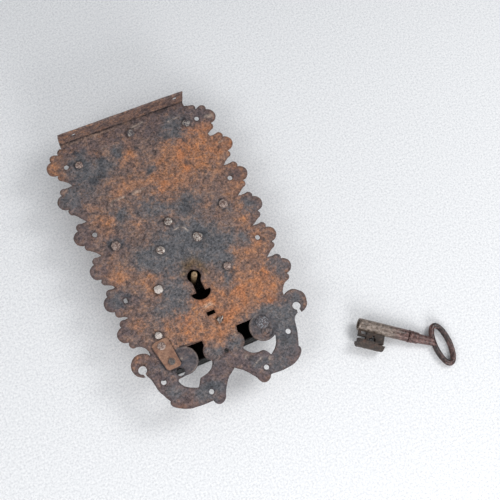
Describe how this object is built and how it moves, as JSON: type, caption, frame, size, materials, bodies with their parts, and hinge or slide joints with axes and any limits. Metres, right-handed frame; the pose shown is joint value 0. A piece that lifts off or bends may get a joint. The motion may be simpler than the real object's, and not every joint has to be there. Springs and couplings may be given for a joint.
{
  "type": "chest lock",
  "caption": "Wrought-iron chest lock with a leaf-edged face plate, a top flange, two scrolls, a riveted case behind and its pipe key.",
  "frame": {"origin": "on the drill pin's axis, at the outer face of the rear cover", "axes": "+X across the plate, the way the bolt moves to lock; +Y towards the flange; +Z out of the plate's front"},
  "size_m": [0.3448, 0.391, 0.0662],
  "materials": {
    "plate_iron": "rusted and waxed wrought iron",
    "dark_iron": "dark forged wrought iron",
    "worn_iron": "rubbed bright rivet iron",
    "pin_iron": "tan worn iron",
    "key_iron": "brown rusted iron"
  },
  "bodies": {
    "lock": {"lock_plate": "plate_iron", "repair_strap": "plate_iron", "strap_rivet_1": "dark_iron", "strap_rivet_2": "dark_iron", "disc_boss": "worn_iron", "cover_post_upper_left": "worn_iron", "cover_post_upper_right": "worn_iron", "cover_post_lower_left": "worn_iron", "cover_post_lower_mid": "worn_iron", "rim_rivet_right": "worn_iron", "top_wall_rivet": "worn_iron", "tumbler_pivot": "worn_iron", "spring_post": "worn_iron", "guide_stud_left": "worn_iron", "guide_stud_right": "worn_iron", "bridge_rivet_left": "worn_iron", "bridge_rivet_right": "worn_iron", "case_rim": "dark_iron", "case_top_wall": "dark_iron", "rear_cover": "dark_iron", "cover_screw_1": "worn_iron", "cover_screw_2": "worn_iron", "cover_screw_3": "worn_iron", "cover_screw_4": "worn_iron", "drill_pin": "pin_iron", "ward_bridge": "dark_iron", "ward_left": "dark_iron", "ward_right": "dark_iron", "ward_front": "dark_iron", "tumbler_spring": "worn_iron"},
    "bolt": {"bolt_bar": "dark_iron", "bolt_arm_left": "dark_iron", "bolt_arm_right": "dark_iron", "arm_rivet_left_1": "worn_iron", "arm_rivet_left_2": "worn_iron", "arm_rivet_right_1": "worn_iron", "arm_rivet_right_2": "worn_iron"},
    "tumbler": {"tumbler": "dark_iron"},
    "key": {"key_pipe": "key_iron", "key_collar": "key_iron", "key_bow": "key_iron", "key_bit": "key_iron"}
  },
  "joints": [
    {"name": "bolt_slide", "type": "slide", "parent": "lock", "child": "bolt", "axis": [1, 0, 0], "range_m": [0, 0.016]},
    {"name": "tumbler_lift", "type": "hinge", "parent": "lock", "child": "tumbler", "pos_m": [-0.063, 0.0626, 0.029], "axis": [0, 0, 1], "range_deg": [0, 4], "stiffness_Nm_per_rad": 0.3},
    {"name": "key_lift", "type": "slide", "parent": "lock", "child": "key", "axis": [0, 0, 1], "range_m": [0, 0.12]}
  ]
}
